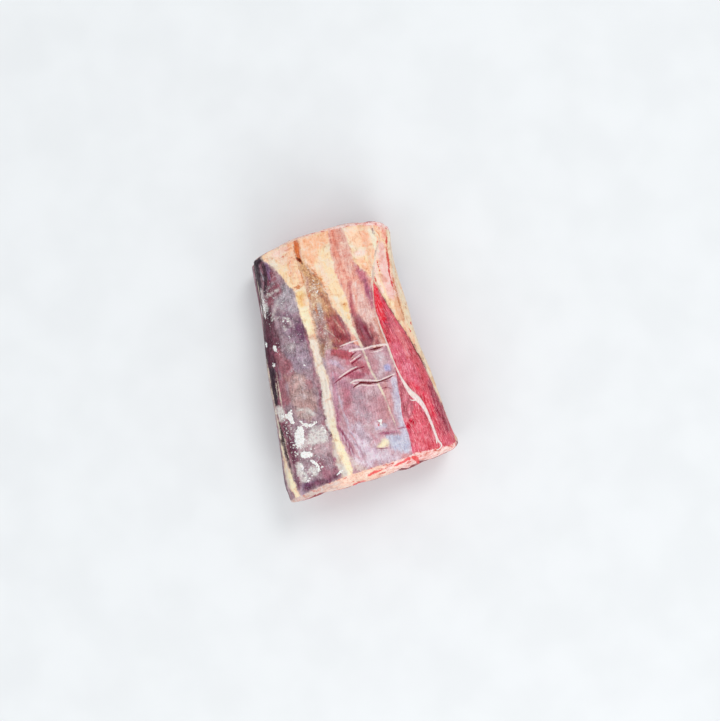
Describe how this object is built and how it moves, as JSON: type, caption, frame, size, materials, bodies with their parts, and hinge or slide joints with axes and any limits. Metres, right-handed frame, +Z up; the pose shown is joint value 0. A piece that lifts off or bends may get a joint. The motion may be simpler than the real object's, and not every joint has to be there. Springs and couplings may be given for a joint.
{
  "type": "raw beef shank",
  "caption": "Boneless slab of raw shank meat with straight cut ends, lengthwise fat seams, a wrinkled membrane and a strip of bare red muscle, lying flat.",
  "frame": {"origin": "under the middle of the slab's box, on the surface that it rests on", "axes": "+Z up; +Y along the muscles, from the wide cut to the narrow, tendinous cut; +X across them, towards the bare red muscle"},
  "size_m": [0.1538, 0.2246, 0.0771],
  "materials": {
    "muscle": "moist, semi-gloss raw muscle under a thin membrane",
    "fat": "soft, satin cream fat and tendon"
  },
  "bodies": {
    "root": {"shank": "muscle"}
  },
  "joints": []
}
